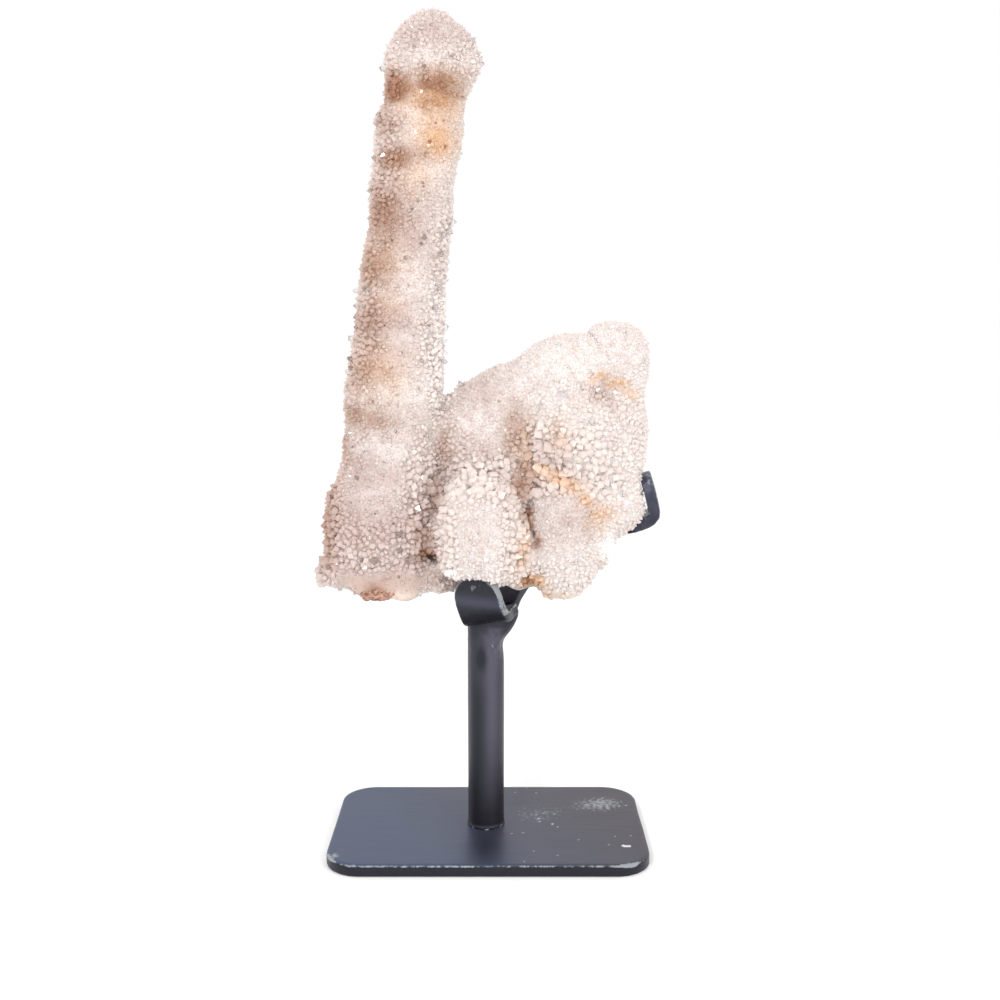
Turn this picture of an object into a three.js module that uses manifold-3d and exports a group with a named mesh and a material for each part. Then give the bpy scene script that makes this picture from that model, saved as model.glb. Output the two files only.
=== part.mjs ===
// A drusy quartz stalagmite held in a small forged iron stand.
//
// The stone grew as one piece: a slim column beside a lower block of rounded, grown-together knobs,
// all of it furred with fine quartz points, and broken off underneath. Its solid here reaches the
// tips of those points. The stand is a plate, a round post with a hammered head, and two flat
// strips welded to that head: a short claw in front, and a long arm that runs up under the back of
// the stone and hooks round its right end.
//
// Millimetres, +Z up. The origin is the middle of the plate's underside, the stone's broad side
// faces -Y, and its column stands on the -X side.
import * as THREE from 'three';
import { mergeVertices } from 'three/addons/utils/BufferGeometryUtils.js';
import { ImprovedNoise } from 'three/addons/math/ImprovedNoise.js';
import Module from 'manifold-3d';

// ---- driving dimensions -------------------------------------------------------------------------

const PLATE = { width: 82, depth: 51, thickness: 3.2, cornerRadius: 9, edgeBreak: 0.4 };
const POST = { diameter: 9.5, axisX: -0.7, topZ: 61.5, sides: 24, rings: 12 };
const HEAD = { startZ: 51.5, fullZ: 61, widenToRight: 0.8, flatten: 0.82 };
const STRIP = { width: 13, thickness: 3.0, tipRadius: 5.6, edgeBreak: 0.35 };
const CLEARANCE = 0.3;
const ROOM_BEHIND_STRIP = 16;

// The front claw's centre line, from the head of the post to its tip, and its width direction.
const CLAW_PATH = [
  [1.8, 0.6, 60.8],
  [0.4, -3.2, 60.5],
  [-0.7, -7.2, 61.7],
  [-2.0, -9.4, 65.2],
  [-3.6, -10.0, 72.4],
];
const CLAW_ACROSS = [0.81, -0.53, 0.25];

// The side arm's centre line, from the head, back and up under the stone, to its hooked tip, and
// its width direction at the head and at the hook.
const ARM_PATH = [
  [0.6, 0.6, 60.8],
  [3.2, 5.2, 65.2],
  [9.6, 11.4, 70.8],
  [20, 14.0, 76.6],
  [31, 12.4, 81.0],
  [40.4, 10.0, 83.2],
  [43.6, 9.5, 85.4],
  [43.1, 9.4, 89.4],
  [41.0, 9.3, 96.4],
];
const ARM_ACROSS = { head: [-0.86, 0.51, 0], hook: [0.1, 0.995, 0], turned: 0.5 };

// The column leans from foot to cap: [height, centre x, radius to the crystal tips].
const COLUMN = [
  [62, -27.6, 12.4],
  [78, -27.6, 13.6],
  [91, -26.8, 13.2],
  [104, -24.9, 12.2],
  [116, -24.2, 12.4],
  [129, -22.8, 11.5],
  [141, -21.6, 11.0],
  [153, -20.2, 10.6],
  [165, -18.9, 10.4],
  [173, -17.6, 10.4],
  [180, -17.2, 11.0],
  [186, -16.4, 10.7],
  [190.5, -15.2, 9.8],
  [194.5, -13.6, 11.8],
  [199, -13.2, 12.0],
  [203.5, -13.4, 10.4],
  [207.5, -13.6, 7.4],
  [210, -13.6, 3.4],
];
const COLUMN_MESH = { sides: 26, rings: 42 };

// The knobs that make up the foot and the block: middle, half sizes to the crystal tips, and how
// far the long side leans up to the right, in degrees.
const KNOBS = [
  { name: 'foot', middle: [-28.6, -1.5, 83], half: [13.6, 13.6, 20.5], lean: -3 },
  { name: 'foot corner', middle: [-36.6, -1, 71.5], half: [7.9, 8.5, 6.4], lean: 0 },
  { name: 'web', middle: [-14, 0.5, 81], half: [9, 8.5, 18], lean: 0 },
  { name: 'front knob', middle: [-2.4, -7.3, 83.6], half: [11.7, 11.4, 16.2], lean: 4 },
  { name: 'ridge', middle: [2.5, 2.5, 111], half: [22, 11.6, 12.8], lean: 31 },
  { name: 'ridge foot', middle: [-3.5, 1, 103], half: [9.4, 11.5, 14], lean: 10 },
  { name: 'main knob', middle: [20.6, 2.5, 112.4], half: [14.8, 14.2, 20.6], lean: 8 },
  { name: 'right peak', middle: [33.2, 6, 125.6], half: [8.4, 8.8, 10.4], lean: 0 },
  { name: 'right flank', middle: [30.2, 6, 106.5], half: [11.2, 11.4, 20.5], lean: 0 },
  { name: 'right end', middle: [30.8, 5.4, 90], half: [10.3, 9.8, 10.6], lean: 10 },
  { name: 'low knob', middle: [19.6, -4, 79.8], half: [9.5, 9.8, 16.2], lean: -4 },
  { name: 'front web', middle: [8.6, -4.6, 78], half: [8, 7, 10.8], lean: 0 },
  { name: 'right web', middle: [25.5, 1, 80], half: [7.5, 8, 8.8], lean: 0 },
  { name: 'heart', middle: [9, 4, 94], half: [27, 12, 19], lean: 6 },
];
const KNOB_DETAIL = 5;
const THINNING = 0.38; // how far flat places may move when the stone's mesh is thinned

// Slow swellings and fine bumps of the stone, and the rough face it broke off along.
const SURFACE = { coarse: 0.085, fine: 0.27, height: 1.2 };
const BREAK = { z: 66, rise: 0.14, roughness: 1.7, grain: 0.12 };

// ---- small helpers ------------------------------------------------------------------------------

const wasm = await Module();
wasm.setup();

const noise = new ImprovedNoise();

// Perlin noise of two sizes, from -1 to 1, at a point.
function bumps(p, coarse, fine) {
  return (
    0.68 * noise.noise(p.x * coarse, p.y * coarse, p.z * coarse) +
    0.32 * noise.noise(p.x * fine + 31, p.y * fine + 17, p.z * fine + 5)
  );
}

// A three.js geometry as a manifold solid.
function solidOf(geometry) {
  const bare = geometry.clone();
  bare.deleteAttribute('normal');
  bare.deleteAttribute('uv');
  const merged = mergeVertices(bare, 1e-4);
  return new wasm.Manifold(
    new wasm.Mesh({
      numProp: 3,
      vertProperties: new Float32Array(merged.attributes.position.array),
      triVerts: new Uint32Array(merged.index.array),
    }),
  );
}

// The largest body of a manifold solid as a three.js geometry.
function geometryOf(solid) {
  const [largest] = solid.decompose().sort((a, b) => b.volume() - a.volume());
  const mesh = largest.getMesh();
  const geometry = new THREE.BufferGeometry();
  geometry.setAttribute('position', new THREE.BufferAttribute(mesh.vertProperties, 3));
  geometry.setIndex(new THREE.BufferAttribute(mesh.triVerts, 1));
  geometry.computeVertexNormals();
  return geometry;
}

// Moves every vertex of a geometry by a function of its place.
function shaped(geometry, move) {
  const position = geometry.attributes.position;
  const p = new THREE.Vector3();
  for (let i = 0; i < position.count; i++) {
    p.fromBufferAttribute(position, i);
    move(p);
    position.setXYZ(i, p.x, p.y, p.z);
  }
  return geometry;
}

// The value in a column of a table at a height, read between its rows.
function between(table, height, column) {
  const above = Math.max(table.findIndex((row) => row[0] > height), 1);
  const [low, high] = height >= table.at(-1)[0] ? table.slice(-2) : [table[above - 1], table[above]];
  const share = THREE.MathUtils.clamp((height - low[0]) / (high[0] - low[0]), 0, 1);
  return THREE.MathUtils.lerp(low[column], high[column], THREE.MathUtils.smoothstep(share, 0, 1));
}

// ---- the stand ----------------------------------------------------------------------------------

// The base plate: a sheared rectangle with round corners and broken edges.
function basePlate() {
  const { width, depth, thickness, cornerRadius: r, edgeBreak } = PLATE;
  const x = width / 2 - edgeBreak;
  const y = depth / 2 - edgeBreak;
  const outline = new THREE.Shape();
  const corners = [[x - r, -y + r], [x - r, y - r], [-x + r, y - r], [-x + r, -y + r]];
  corners.forEach(([cx, cy], i) => {
    outline.absarc(cx, cy, r, (Math.PI / 2) * (i - 1), (Math.PI / 2) * i);
  });
  const geometry = new THREE.ExtrudeGeometry(outline, {
    depth: thickness - 2 * edgeBreak,
    bevelEnabled: true,
    bevelThickness: edgeBreak,
    bevelSize: edgeBreak,
    bevelSegments: 1,
    curveSegments: 8,
  });
  return geometry.translate(0, 0, edgeBreak);
}

// The post: a round rod whose upper end is hammered flatter and drawn out towards +X.
function post() {
  const height = POST.topZ - PLATE.thickness;
  const radius = POST.diameter / 2;
  const rod = new THREE.CylinderGeometry(radius, radius, height, POST.sides, POST.rings);
  rod.rotateX(Math.PI / 2).translate(0, 0, PLATE.thickness + height / 2);
  return shaped(rod, (p) => {
    const share = THREE.MathUtils.smoothstep(p.z, HEAD.startZ, HEAD.fullZ);
    p.x *= p.x > 0 ? 1 + HEAD.widenToRight * share : 1;
    p.y *= 1 + (HEAD.flatten - 1) * share;
    p.x += POST.axisX;
  });
}

// A flat strip along a curve, with broken corners and a rounded tip. across gives its width
// direction at a share of its length, grow thickens it all round, and behind adds to its outer face.
function strip(path, across, { steps, grow = 0, behind = 0 }) {
  const curve = new THREE.CatmullRomCurve3(
    path.map((point) => new THREE.Vector3(...point)), false, 'centripetal',
  );
  const length = curve.getLength();
  const width = STRIP.width + 2 * grow;
  const [a, b, c] = [width / 2, STRIP.thickness / 2 + grow, STRIP.edgeBreak];
  const section = new THREE.Shape();
  section.moveTo(-a + c, -b - behind);
  section.lineTo(a - c, -b - behind);
  section.lineTo(a, -b - behind + c);
  section.lineTo(a, b - c);
  section.lineTo(a - c, b);
  section.lineTo(-a + c, b);
  section.lineTo(-a, b - c);
  section.lineTo(-a, -b - behind + c);
  const bar = new THREE.ExtrudeGeometry(section, { depth: 1, steps, bevelEnabled: false });
  const side = new THREE.Vector3();
  const face = new THREE.Vector3();
  return shaped(bar, (p) => {
    const share = 1 - (1 - p.z) ** 1.3; // closer steps towards the tip
    const at = curve.getPointAt(share);
    const along = curve.getTangentAt(share);
    side.copy(across(share));
    side.addScaledVector(along, -side.dot(along)).normalize();
    face.crossVectors(along, side);
    const left = Math.max(STRIP.tipRadius - (1 - share) * length, 0);
    const inset = STRIP.tipRadius - Math.sqrt(STRIP.tipRadius ** 2 - left ** 2);
    const narrow = Math.max(1 - (2 * inset) / width, 0.2);
    const overrun = share > 0.999 ? grow : 0;
    const place = at.clone().addScaledVector(along, overrun);
    place.addScaledVector(side, p.x * narrow).addScaledVector(face, p.y);
    p.copy(place);
  });
}

function frontClaw(options) {
  const across = new THREE.Vector3(...CLAW_ACROSS);
  return strip(CLAW_PATH, () => across, { steps: 26, ...options });
}

function sideArm(options) {
  const head = new THREE.Vector3(...ARM_ACROSS.head);
  const hook = new THREE.Vector3(...ARM_ACROSS.hook);
  const across = (share) =>
    head.clone().lerp(hook, THREE.MathUtils.smoothstep(share, 0.02, ARM_ACROSS.turned));
  return strip(ARM_PATH, across, { steps: 44, ...options });
}

// ---- the stone ----------------------------------------------------------------------------------

// The column: a lathe profile leaned along its centre line, with the stone's swellings.
function column() {
  const { sides, rings } = COLUMN_MESH;
  const bottom = COLUMN[0][0];
  const top = COLUMN.at(-1)[0];
  const profile = [new THREE.Vector2(0, bottom)];
  for (let i = 0; i <= rings; i++) {
    const z = THREE.MathUtils.lerp(bottom, top, i / rings);
    profile.push(new THREE.Vector2(between(COLUMN, z, 2), z));
  }
  profile.push(new THREE.Vector2(0, top + SURFACE.height / 4));
  const lathe = new THREE.LatheGeometry(profile, sides).rotateX(Math.PI / 2);
  return shaped(lathe, (p) => {
    const radius = Math.max(Math.hypot(p.x, p.y), 1);
    const swell = 1 + (SURFACE.height * bumps(p, SURFACE.coarse, SURFACE.fine)) / radius;
    p.x = p.x * swell + between(COLUMN, p.z, 1);
    p.y *= swell;
  });
}

// One rounded knob: a ball stretched to its half sizes and leaned, with the stone's swellings.
function knob({ middle, half, lean }) {
  const ball = new THREE.IcosahedronGeometry(1, KNOB_DETAIL);
  const centre = new THREE.Vector3(...middle);
  const out = new THREE.Vector3();
  ball.scale(...half).rotateY(THREE.MathUtils.degToRad(-lean));
  return shaped(ball, (p) => {
    out.copy(p).normalize();
    p.add(centre);
    p.addScaledVector(out, SURFACE.height * bumps(p, SURFACE.coarse, SURFACE.fine));
  });
}

// What the break took away: all below a rough face that rises towards the back.
function brokenAway() {
  const slab = new THREE.BoxGeometry(120, 80, 40, 36, 24, 1);
  return shaped(slab, (p) => {
    if (p.z < 0) return;
    p.z = BREAK.z + BREAK.rise * Math.max(p.y, 0);
    p.z += BREAK.roughness * bumps(p, BREAK.grain, 3 * BREAK.grain);
  });
}

function stone() {
  let solid = solidOf(column());
  for (const each of KNOBS) solid = solid.add(solidOf(knob(each)));
  solid = solid.subtract(solidOf(brokenAway())).simplify(THINNING);
  const cut = { grow: CLEARANCE, behind: ROOM_BEHIND_STRIP };
  solid = solid.subtract(solidOf(frontClaw(cut))).subtract(solidOf(sideArm(cut)));
  return geometryOf(solid);
}

// ---- the assembly -------------------------------------------------------------------------------

const iron = new THREE.MeshStandardMaterial({ color: 0x2b2c30, roughness: 0.45, metalness: 0.6 });
const quartz = new THREE.MeshStandardMaterial({ color: 0xe6d6cc, roughness: 0.35, metalness: 0 });

const specimen = new THREE.Group();

function add(name, geometry, material) {
  const mesh = new THREE.Mesh(geometry, material.clone());
  mesh.name = name;
  specimen.add(mesh);
}

const clawRoom = solidOf(frontClaw({ grow: CLEARANCE }));
const armRoom = solidOf(sideArm({ grow: CLEARANCE }));

add('base_plate', basePlate(), iron);
add('post', geometryOf(solidOf(post()).subtract(clawRoom).subtract(armRoom)), iron);
add('front_claw', geometryOf(solidOf(frontClaw())), iron);
add('side_arm', geometryOf(solidOf(sideArm()).subtract(clawRoom)), iron);
add('stalagmite', stone(), quartz);

export default specimen;
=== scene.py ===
"""A drusy quartz stalagmite on a small forged iron stand.

The stone is a milky body with thousands of quartz points grown on it. The stand is a sheared plate,
a round post with a hammered head and two bent strips that hold the stone. Tables are in millimetres,
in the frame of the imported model; meshes are in metres.
"""

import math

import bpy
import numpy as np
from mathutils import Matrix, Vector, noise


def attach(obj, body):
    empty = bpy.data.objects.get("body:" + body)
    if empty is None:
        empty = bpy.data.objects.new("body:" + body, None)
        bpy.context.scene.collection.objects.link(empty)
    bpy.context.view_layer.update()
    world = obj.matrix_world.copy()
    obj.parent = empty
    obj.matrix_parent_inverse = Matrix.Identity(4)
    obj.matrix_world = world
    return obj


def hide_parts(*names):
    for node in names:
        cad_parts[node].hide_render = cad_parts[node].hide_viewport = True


bl_info = {
    "name": "Drusy quartz stalagmite",
    "version": (1, 0, 0),
    "blender": (4, 5, 0),
    "location": "3D View > Sidebar > Stalagmite",
    "description": "Builds a drusy quartz stalagmite on an iron stand around its packed model",
    "category": "Object",
}

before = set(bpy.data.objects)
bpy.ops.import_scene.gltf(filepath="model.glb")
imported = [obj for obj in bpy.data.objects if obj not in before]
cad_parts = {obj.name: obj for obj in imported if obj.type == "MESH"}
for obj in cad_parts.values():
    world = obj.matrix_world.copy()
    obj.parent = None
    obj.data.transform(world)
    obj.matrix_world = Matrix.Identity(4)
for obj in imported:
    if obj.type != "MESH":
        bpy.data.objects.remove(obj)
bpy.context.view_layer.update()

MM = 0.001
BODY = "root"
QUARTZ_IOR = 1.544
CHIP = 1.3  # how worn the bottom of a chip in the paint is, where 1 is rubbed to the iron


def linear(code):
    """An sRGB hex colour as the linear RGBA values that Blender works in."""
    shares = [int(code[i : i + 2], 16) / 255 for i in (1, 3, 5)]
    return tuple(
        s / 12.92 if s <= 0.04045 else ((s + 0.055) / 1.055) ** 2.4 for s in shares
    ) + (1.0,)


# ---- sizes and colours a user may change ---------------------------------------------------------


def length(name, description, millimetres, lowest=0.0):
    return bpy.props.FloatProperty(
        name=name,
        description=description,
        default=millimetres * MM,
        min=lowest * MM,
        unit="LENGTH",
        precision=5,
    )


def share(name, description, default, highest=1.0):
    return bpy.props.FloatProperty(
        name=name, description=description, default=default, min=0.0, max=highest, subtype="FACTOR"
    )


def colour(name, description, code):
    return bpy.props.FloatVectorProperty(
        name=name, description=description, default=linear(code), size=4, min=0, max=1, subtype="COLOR"
    )


def whole(name, description, default):
    return bpy.props.IntProperty(name=name, description=description, default=default, min=0)


def number(name, description, default):
    return bpy.props.FloatProperty(name=name, description=description, default=default, min=0)


class StoneSettings(bpy.types.PropertyGroup):
    """Sizes and colours of the quartz."""

    grain: length("Body grain", "Edge of the squares that the body's skin is made of", 0.85, 0.3)
    swelling: length("Swelling", "Height of the body's small rounded swellings", 0.55)
    crystal_scale: share("Crystal scale", "Size of all quartz points against the usual size", 1.08, 3.0)
    spacing: share("Spacing", "Gap between neighbouring points, in point radii", 1.25, 4.0)
    lean: share("Lean", "How far points lean away from straight out of the body", 0.36)
    candidates: whole("Seeds", "Places tried for a quartz point", 400000)
    seed: whole("Seed", "Which chance growth is drawn", 11)
    milky: colour("Milky quartz", "Body of the stone under its points", "#E8DFDB")
    blush: colour("Pinkish quartz", "Warmer clouds in the body", "#B89F97")
    # Also the colour of the painted glints: small points painted white as if they caught the light.
    bright: colour("Snow-white quartz", "Whitest patches of the stone", "#FFFDFC")
    pit: colour("Pits", "Shadowed brown in holes and cracks", "#3A2218")
    # Iron stain, and also painted shade in the clefts and cracks of the block.
    rust: colour("Iron stain", "Brown film in the hollows", "#9E7258")
    ochre: colour("Ochre stain", "Yellow-orange iron film", "#DDA562")
    clear: colour("Clear quartz", "Tint of the glassy points", "#FFFFFF")
    frosted: colour("Frosted quartz", "Tint of the frosted points", "#DDD2CD")
    sugar: colour("Fused quartz", "Body of the stone where no points stand", "#E8D6CA")
    limonite: colour("Limonite", "Pores of the brown matrix", "#70493A")
    dusty: colour("Dusty limonite", "Dull face of the brown matrix", "#CFA491")


class StandSettings(bpy.types.PropertyGroup):
    """Sizes and colours of the iron stand."""

    plate_width: length("Plate width", "Plate from left to right", 82)
    plate_depth: length("Plate depth", "Plate from front to back", 51)
    plate_thickness: length("Plate thickness", "Height of the plate", 3.2)
    corner_radius: length("Corner radius", "Rounding of the plate's corners", 9)
    edge_break: length("Edge break", "Filed-off edge of the plate", 0.55)
    post_diameter: length("Post diameter", "Round bar of the post", 9.5)
    post_left: length("Post place", "How far the post stands left of the middle", 0.7)
    post_top: length("Post top", "Height of the post's hammered head", 61.5)
    paint: colour("Black paint", "Satin black paint on the iron", "#141215")
    # Painted reflection: the two sheen colours stand for the pale room mirrored in the satin paint.
    cool_sheen: colour("Cool haze", "Bluish bloom on the plate's paint", "#3D475D")
    warm_sheen: colour("Warm haze", "Brownish bloom on the paint", "#4C464E")
    bare: colour("Bare iron", "Iron where the paint is ground or rubbed off", "#8B9094")
    chalk: colour("Chips", "Whitish bottom of chips and specks", "#D9DADB")
    specks: whole("Specks", "Which chance specks are drawn", 3)
    paint_roughness: share("Paint roughness", "Roughness of the satin paint", 0.36)


class StageSettings(bpy.types.PropertyGroup):
    """Floor, light and camera."""

    floor: length("Floor", "Edge of the pale floor", 4000)
    paper: colour("Paper", "Pale floor and backdrop", "#FAFAFA")
    room_light: share("Room light", "Brightness of the white room", 1.06, 5.0)
    key_power: number("Key light", "Watts of the soft light from the upper right", 0.8)
    fill_power: number("Front light", "Watts of the small light from the upper left", 0.9)
    camera_lens: number("Lens", "Focal length in millimetres", 43.56)
    camera_right: length("Camera place", "How far the camera stands right of the middle", 3)
    camera_distance: length("Camera distance", "How far the camera stands in front", 307)
    camera_height: length("Camera height", "From the floor up to the camera", 137.2)
    camera_dip: number("Camera dip", "Degrees that the camera looks down", 8.65)


# ---- small helpers -------------------------------------------------------------------------------


def start():
    """Leaves edit mode and deselects everything, so that operators act on the next piece only."""
    if bpy.context.object and bpy.context.object.mode != "OBJECT":
        bpy.ops.object.mode_set(mode="OBJECT")
    bpy.ops.object.select_all(action="DESELECT")


def choose(piece):
    """Makes a piece the only selected and the active one."""
    start()
    piece.select_set(True)
    bpy.context.view_layer.objects.active = piece


def edit(piece, mode="FACE"):
    """Opens a piece in edit mode with nothing selected."""
    choose(piece)
    bpy.ops.object.mode_set(mode="EDIT")
    bpy.ops.mesh.select_mode(type=mode)
    bpy.ops.mesh.select_all(action="DESELECT")


def select(piece, kind, test):
    """Selects the faces or edges of an edited piece whose place and direction pass a test."""
    bpy.ops.mesh.select_all(action="DESELECT")
    bpy.ops.object.mode_set(mode="OBJECT")
    mesh = piece.data
    for item in getattr(mesh, kind):
        if kind == "polygons":
            item.select = test(item.center / MM, item.normal)
        else:
            a, b = (mesh.vertices[i].co for i in item.vertices)
            item.select = test((a + b) / 2 / MM, (b - a).normalized())
    bpy.ops.object.mode_set(mode="EDIT")


def apply(piece, kind, **settings):
    """Adds a modifier with its settings and applies it."""
    choose(piece)
    modifier = piece.modifiers.new(kind.title(), kind)
    for key, value in settings.items():
        setattr(modifier, key, value)
    bpy.ops.object.modifier_apply(modifier=modifier.name)


def added():
    """The piece that an operator has just added, with its place and scale applied."""
    bpy.ops.object.transform_apply(location=True, rotation=True, scale=True)
    return bpy.context.object


def even_skin(piece, edge, rounds):
    """Covers a piece with squares of one size and smooths them."""
    apply(piece, "REMESH", mode="VOXEL", voxel_size=edge)
    apply(piece, "SMOOTH", factor=0.5, iterations=rounds)


def merged_copy(node, name):
    """A new piece with the shape of a CAD node, its loose triangles joined."""
    start()
    piece = bpy.data.objects.new(name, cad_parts[node].data.copy())
    piece.data.materials.clear()
    bpy.context.scene.collection.objects.link(piece)
    edit(piece, "VERT")
    bpy.ops.mesh.select_all(action="SELECT")
    bpy.ops.mesh.remove_doubles(threshold=0.005 * MM)
    bpy.ops.mesh.customdata_custom_splitnormals_clear()
    start()
    return piece


def finish_piece(piece, name, material, stands_for=None, smooth=None):
    """Names a piece, gives it its finish and lets it ride with the specimen."""
    choose(piece)
    added()
    piece.name = name
    piece.data.name = name
    if smooth is not None:
        bpy.ops.object.shade_smooth_by_angle(angle=math.radians(smooth), keep_sharp_edges=False)
    piece.data.materials.clear()
    piece.data.materials.append(material)
    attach(piece, BODY)
    if stands_for:
        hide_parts(stands_for)
    start()
    return piece


def places(mesh):
    """Vertex places of a mesh, in millimetres."""
    flat = np.empty(len(mesh.vertices) * 3, np.float32)
    mesh.vertices.foreach_get("co", flat)
    return flat.reshape(-1, 3).astype(float) / MM


def directions(mesh):
    """Vertex normals of a mesh."""
    flat = np.empty(len(mesh.vertices) * 3, np.float32)
    mesh.vertex_normals.foreach_get("vector", flat)
    return flat.reshape(-1, 3).astype(float)


def put(mesh, points):
    """Writes vertex places back to a mesh, from millimetres."""
    mesh.vertices.foreach_set("co", (points * MM).astype(np.float32).ravel())
    mesh.update()


def in_order(mesh):
    """Numbers a mesh's corners and faces by their places, because extruding leaves them in any order."""
    points = places(mesh)
    order = np.lexsort(points.T.round(4))
    rank = np.argsort(order)
    faces = []
    for face in mesh.polygons:
        corners = [int(rank[i]) for i in face.vertices]
        first = corners.index(min(corners))
        faces.append(corners[first:] + corners[:first])
    mesh.clear_geometry()
    mesh.from_pydata(points[order] * MM, [], sorted(faces))


def write(mesh, **numbers):
    """Stores one number per vertex under each name that a material reads."""
    for name, values in numbers.items():
        layer = mesh.attributes.new(name, "FLOAT", "POINT")
        layer.data.foreach_set("value", np.asarray(values, np.float32))


def waves(points, size, offset=0.0):
    """Smooth noise from about -1 to 1 whose bumps are a size across, in millimetres."""
    scale = 1.0 / size
    return np.array([noise.noise(Vector(p) * scale + Vector((offset, offset, offset))) for p in points])


def nearness(points, middle, reach):
    """1 in the middle of a soft ellipsoid, and falling off to 0 outside its reach."""
    apart = (points - np.array(middle)) / np.array(reach)
    return np.exp(-1.6 * (apart**2).sum(1))


# ---- what grows where on the stone ---------------------------------------------------------------

# Middle and reach of a zone; radius of its points; share of the body they cover; how tall their
# shafts stand, in radii; and how frosted they are: the lower this is, the more of them are clear.
ZONES = [
    # cap and column
    ((-13.5, 0, 203), (16, 16, 7), 0.38, 1.0, 0.40, 0.75),
    ((-13.5, 0, 196), (16, 16, 4), 0.37, 1.0, 0.50, 0.4),
    ((-15.5, 0, 189), (16, 16, 4), 0.34, 1.0, 0.17, 0.4),
    ((-24, 0, 194), (5, 12, 6), 0.45, 1.0, 0.90, 0.15),
    ((-12, -2, 174), (9, 14, 12), 0.36, 1.0, 0.06, 0.7),
    ((-27, 0, 172), (7, 14, 14), 0.41, 1.0, 0.69, 0.2),
    ((-20, 0, 150), (10, 16, 18), 0.35, 1.0, 0.17, 0.6),
    ((-31, 0, 140), (6, 16, 30), 0.41, 1.0, 0.69, 0.3),
    ((-11, 0, 140), (5, 16, 30), 0.42, 1.0, 0.69, 0.3),
    ((-24, -2, 118), (10, 16, 12), 0.36, 1.0, 0.17, 0.6),
    ((-27, 0, 106), (15, 16, 7), 0.37, 1.0, 0.22, 0.45),
    # foot
    ((-29, -4, 93), (9, 16, 8), 0.34, 1.0, 0.13, 0.75),
    ((-28.6, -2, 82), (14, 16, 9), 0.55, 1.0, 0.28, 0.4),
    ((-17, -6, 90), (4, 10, 15), 0.62, 1.0, 0.50, 0.34),
    ((-40, -2, 84), (5, 12, 14), 0.60, 1.0, 0.90, 0.1),
    ((-42.5, -1, 74), (4, 9, 5), 0.85, 1.0, 0.69, 0.0),
    ((-28, -9, 70.6), (14, 12, 3.4), 0.34, 0.15, 0.00, 0.9),
    # block
    ((-13, -4, 80), (4, 9, 12), 0.44, 1.0, 0.22, 0.4),
    ((-2.4, -18, 86), (8, 8, 12), 0.36, 1.0, 0.13, 0.8),
    ((-2.4, -11, 96), (10, 9, 5), 0.85, 1.0, 0.50, 0.1),
    ((-10.0, -12, 84), (3, 9, 13), 0.70, 1.0, 0.50, 0.1),
    ((6.5, -12, 86), (3, 9, 13), 0.70, 1.0, 0.50, 0.1),
    ((-2, -3, 112), (9, 12, 9), 0.36, 1.0, 0.09, 0.8),
    ((-6, -3, 104), (4, 12, 8), 0.53, 1.0, 0.22, 0.5),
    ((14, 0, 126), (14, 14, 7), 0.36, 1.0, 0.09, 0.8),
    ((20, -8, 116), (9, 10, 8), 0.41, 1.0, 0.13, 0.75),
    ((14, -8, 104), (7, 9, 7), 1.10, 1.0, 0.22, 0.15),
    ((24, -8, 104), (6, 9, 7), 0.70, 1.0, 0.09, 0.5),
    ((7.8, -6, 100), (2.5, 8, 10), 0.44, 1.0, 0.17, 0.3),
    ((27.5, 2, 129), (4, 9, 4), 0.34, 1.0, 0.01, 0.8),
    ((35, 0, 126), (7, 12, 8), 0.36, 1.0, 0.09, 0.8),
    ((35, -4, 108), (6, 12, 13), 0.53, 0.9, 0.00, 0.9),
    ((28, -7, 96), (5, 8, 6), 0.85, 0.9, 0.03, 0.7),
    ((31, 0, 87), (9, 12, 6), 0.39, 1.0, 0.01, 0.8),
    ((19, -12, 86), (8, 9, 10), 0.37, 1.0, 0.17, 0.6),
    ((15, -10, 95), (6, 7, 3), 1.05, 1.0, 0.50, 0.0),
    ((20, -6, 72), (12, 10, 5), 0.44, 1.0, 0.17, 0.6),
    ((0, -8, 71), (9, 9, 4), 0.41, 1.0, 0.17, 0.6),
    # the back, turned to the wall
    ((8, 16, 100), (40, 8, 40), 0.55, 1.0, 0.17, 0.6),
]

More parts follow.
